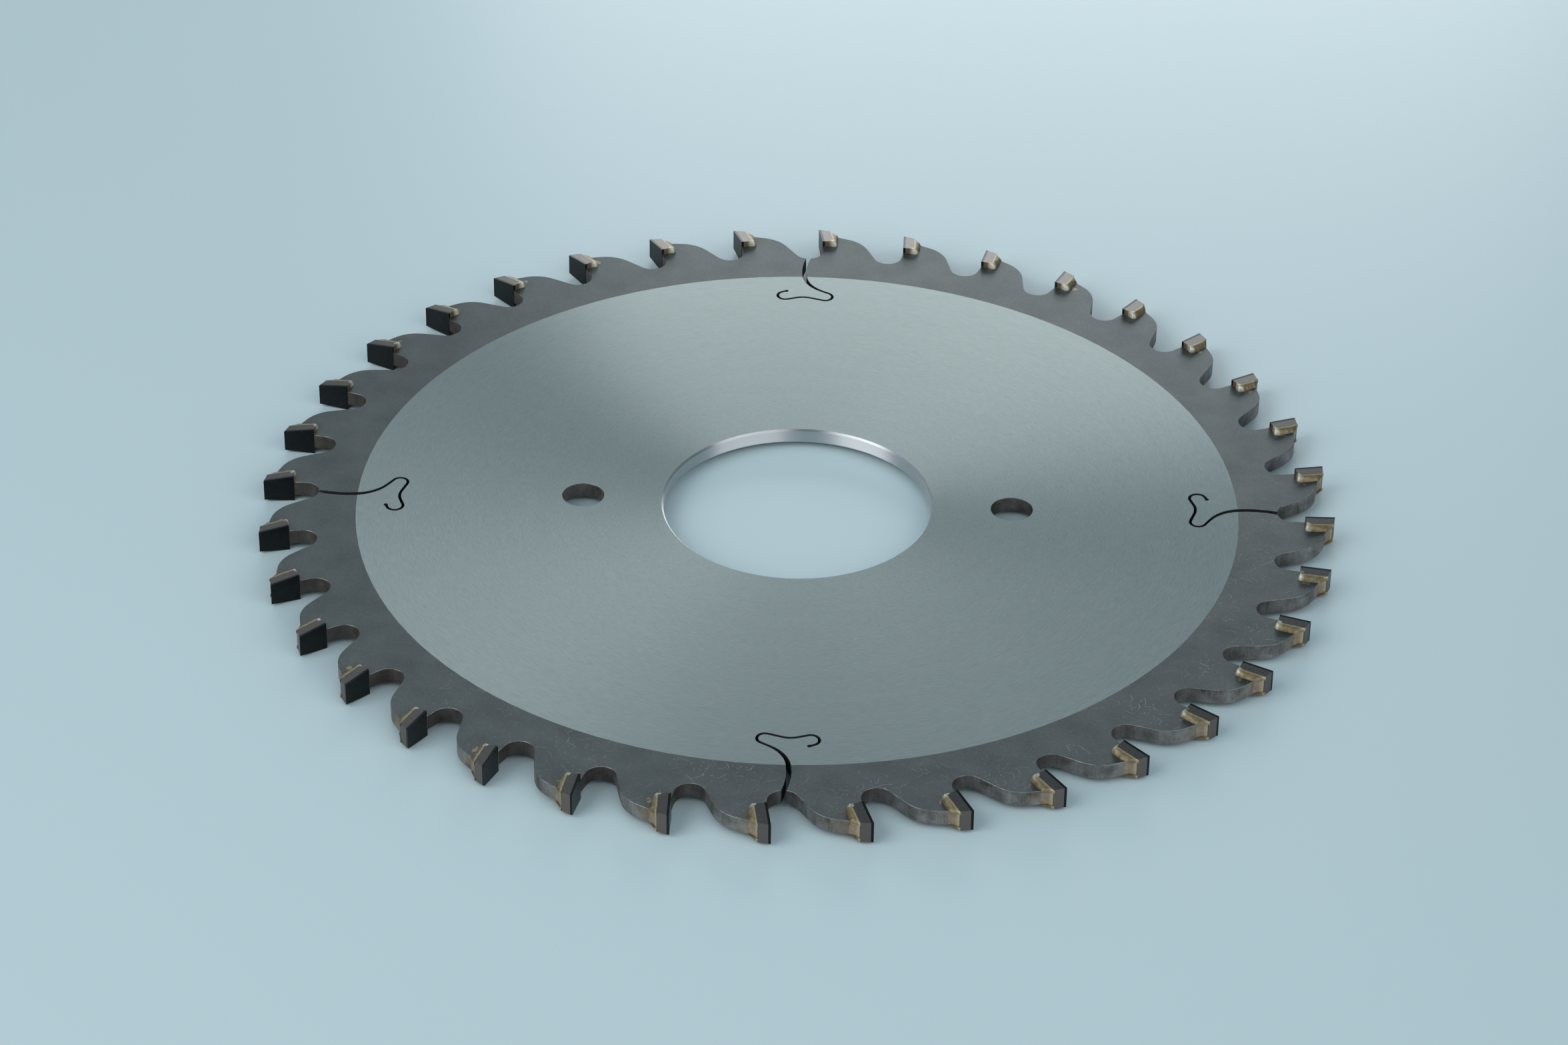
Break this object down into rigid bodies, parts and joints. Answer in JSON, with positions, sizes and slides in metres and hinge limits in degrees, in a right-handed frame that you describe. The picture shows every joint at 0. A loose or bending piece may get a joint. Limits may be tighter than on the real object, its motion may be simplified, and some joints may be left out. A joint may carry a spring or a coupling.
{
  "type": "circular saw blade",
  "caption": "Conical circular saw blade: a slotted steel plate with a chamfered bore, pin holes and brazed carbide tips faced with polycrystalline diamond.",
  "frame": {"origin": "centre of the bore, halfway through the plate", "axes": "+Z along the bore's axis, +X through one pin hole and the cutting corner of the first tooth; seen from +Z the blade cuts anticlockwise"},
  "size_m": [0.18, 0.18, 0.0048],
  "materials": {
    "plate_steel": "hardened steel, ground and brushed in the middle, matt at the rim",
    "carbide": "ground tungsten carbide",
    "diamond": "polished black polycrystalline diamond",
    "braze": "silver braze as it set, stained"
  },
  "bodies": {
    "root": {"saw_plate": "plate_steel", "carbide_tip_01": "carbide", "carbide_tip_02": "carbide", "carbide_tip_03": "carbide", "carbide_tip_04": "carbide", "carbide_tip_05": "carbide", "carbide_tip_06": "carbide", "carbide_tip_07": "carbide", "carbide_tip_08": "carbide", "carbide_tip_09": "carbide", "carbide_tip_10": "carbide", "carbide_tip_11": "carbide", "carbide_tip_12": "carbide", "carbide_tip_13": "carbide", "carbide_tip_14": "carbide", "carbide_tip_15": "carbide", "carbide_tip_16": "carbide", "carbide_tip_17": "carbide", "carbide_tip_18": "carbide", "carbide_tip_19": "carbide", "carbide_tip_20": "carbide", "carbide_tip_21": "carbide", "carbide_tip_22": "carbide", "carbide_tip_23": "carbide", "carbide_tip_24": "carbide", "carbide_tip_25": "carbide", "carbide_tip_26": "carbide", "carbide_tip_27": "carbide", "carbide_tip_28": "carbide", "carbide_tip_29": "carbide", "carbide_tip_30": "carbide", "carbide_tip_31": "carbide", "carbide_tip_32": "carbide", "carbide_tip_33": "carbide", "carbide_tip_34": "carbide", "carbide_tip_35": "carbide", "carbide_tip_36": "carbide", "diamond_layers_sector_1": "diamond", "diamond_layers_sector_2": "diamond", "diamond_layers_sector_3": "diamond", "diamond_layers_sector_4": "diamond", "braze_joints_sector_1": "braze", "braze_joints_sector_2": "braze", "braze_joints_sector_3": "braze", "braze_joints_sector_4": "braze"}
  },
  "joints": []
}
